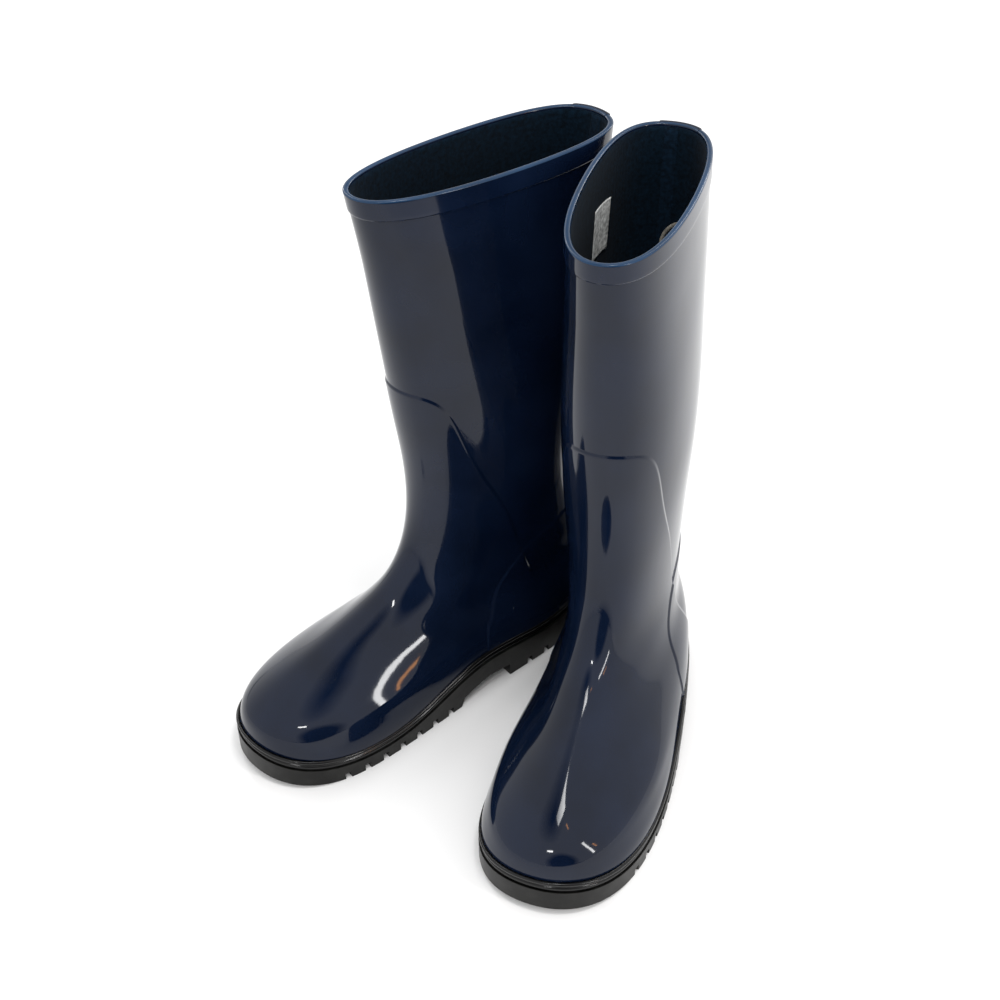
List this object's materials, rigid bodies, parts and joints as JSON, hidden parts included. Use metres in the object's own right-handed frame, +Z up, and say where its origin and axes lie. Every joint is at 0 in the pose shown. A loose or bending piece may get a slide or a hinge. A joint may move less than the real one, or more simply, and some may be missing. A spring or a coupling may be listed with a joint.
{
  "type": "tall rubber deck boots",
  "caption": "Knee-high glossy navy rubber deck boots with black lugged soles, raised vamp and heel panels, a cuff band and a knit lining.",
  "frame": {"origin": "bottom centre of the pair's bounding box, on the floor", "axes": "+Z up along the shafts; the toes point towards -Y and are turned apart"},
  "size_m": [0.3095, 0.3133, 0.378],
  "materials": {
    "navy_rubber": "high gloss moulded rubber",
    "cuff_rubber": "high gloss",
    "stiffener_fabric": "rubberised canvas",
    "lining_knit": "fine brushed knit",
    "seam_tape": "woven",
    "label_fabric": "woven, blank",
    "tag_plastic": "matte, pale edge",
    "board_cardboard": "fibre board",
    "shank_steel": "brushed",
    "filler_rubber": "sponge",
    "foxing_rubber": "gloss",
    "sole_rubber": "satin",
    "footbed_fabric": "foam with a knit face"
  },
  "bodies": {
    "right_boot": {"right_upper": "navy_rubber", "right_vamp_overlay": "navy_rubber", "right_heel_overlay": "navy_rubber", "right_cuff_band": "cuff_rubber", "right_cuff_lap": "cuff_rubber", "right_toe_puff": "stiffener_fabric", "right_heel_stiffener": "stiffener_fabric", "right_lining": "lining_knit", "right_lining_seam_tape": "seam_tape", "right_size_label": "label_fabric", "right_insole_board": "board_cardboard", "right_shank": "shank_steel", "right_midsole_filler": "filler_rubber", "right_foxing_band": "foxing_rubber", "right_outsole": "sole_rubber", "right_heel_block": "sole_rubber"},
    "right_footbed": {"right_footbed": "footbed_fabric"},
    "left_boot": {"left_upper": "navy_rubber", "left_vamp_overlay": "navy_rubber", "left_heel_overlay": "navy_rubber", "left_cuff_band": "cuff_rubber", "left_cuff_lap": "cuff_rubber", "left_toe_puff": "stiffener_fabric", "left_heel_stiffener": "stiffener_fabric", "left_lining": "lining_knit", "left_lining_seam_tape": "seam_tape", "left_size_label": "label_fabric", "left_insole_board": "board_cardboard", "left_shank": "shank_steel", "left_midsole_filler": "filler_rubber", "left_foxing_band": "foxing_rubber", "left_outsole": "sole_rubber", "left_heel_block": "sole_rubber", "left_round_tag": "tag_plastic"},
    "left_footbed": {"left_footbed": "footbed_fabric"}
  },
  "joints": [
    {"name": "left_boot_slide", "type": "slide", "parent": "right_boot", "child": "left_boot", "axis": [1, 0, 0], "range_m": [0, 0.25]},
    {"name": "right_footbed_lift", "type": "slide", "parent": "right_boot", "child": "right_footbed", "axis": [0, 0, 1], "range_m": [0, 0.003]},
    {"name": "left_footbed_lift", "type": "slide", "parent": "left_boot", "child": "left_footbed", "axis": [0, 0, 1], "range_m": [0, 0.003]}
  ]
}
